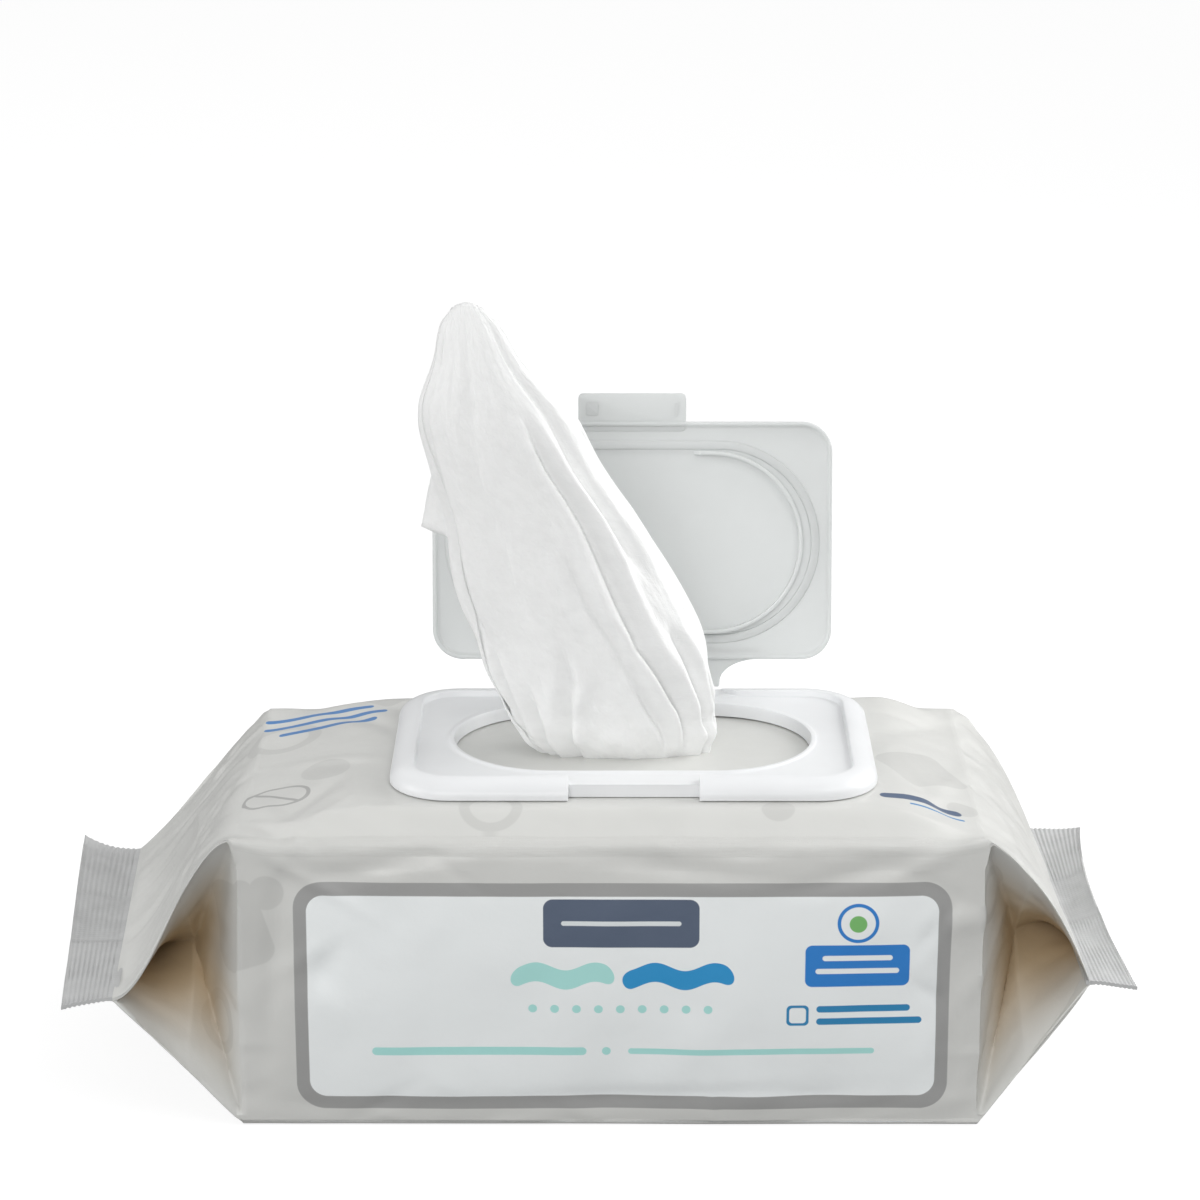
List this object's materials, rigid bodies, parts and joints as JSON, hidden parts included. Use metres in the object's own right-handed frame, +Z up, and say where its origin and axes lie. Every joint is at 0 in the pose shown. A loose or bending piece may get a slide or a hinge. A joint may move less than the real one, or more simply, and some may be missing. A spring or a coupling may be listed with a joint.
{
  "type": "wet wipes pack",
  "caption": "Soft gusseted film pack of wet wipes with a hinged flip-top lid, open, and one wipe drawn up through the oval opening.",
  "frame": {"origin": "middle of the pack's flat base, on the surface it stands on", "axes": "+X along the pack, to the right seen from its front; +Y from its front to its back, where the lid's hinge is; +Z up"},
  "size_m": [0.2775, 0.1091, 0.2009],
  "materials": {
    "film": "satin printed film",
    "glue": "dull adhesive",
    "lid": "smooth white moulding",
    "flap": "smooth, slightly translucent white moulding",
    "wipes": "damp nonwoven"
  },
  "bodies": {
    "pack": {"film_pouch": "film", "lid_adhesive": "glue", "lid_frame": "lid", "wipe_stack": "wipes", "pulled_wipe": "wipes"},
    "flap": {"lid_flap": "flap"}
  },
  "joints": [
    {"name": "flap_hinge", "type": "hinge", "parent": "pack", "child": "flap", "pos_m": [0.0059, 0.0394, 0.08675], "axis": [1, 0, 0], "range_deg": [-70, 101], "deforming": ["pulled_wipe"]}
  ]
}
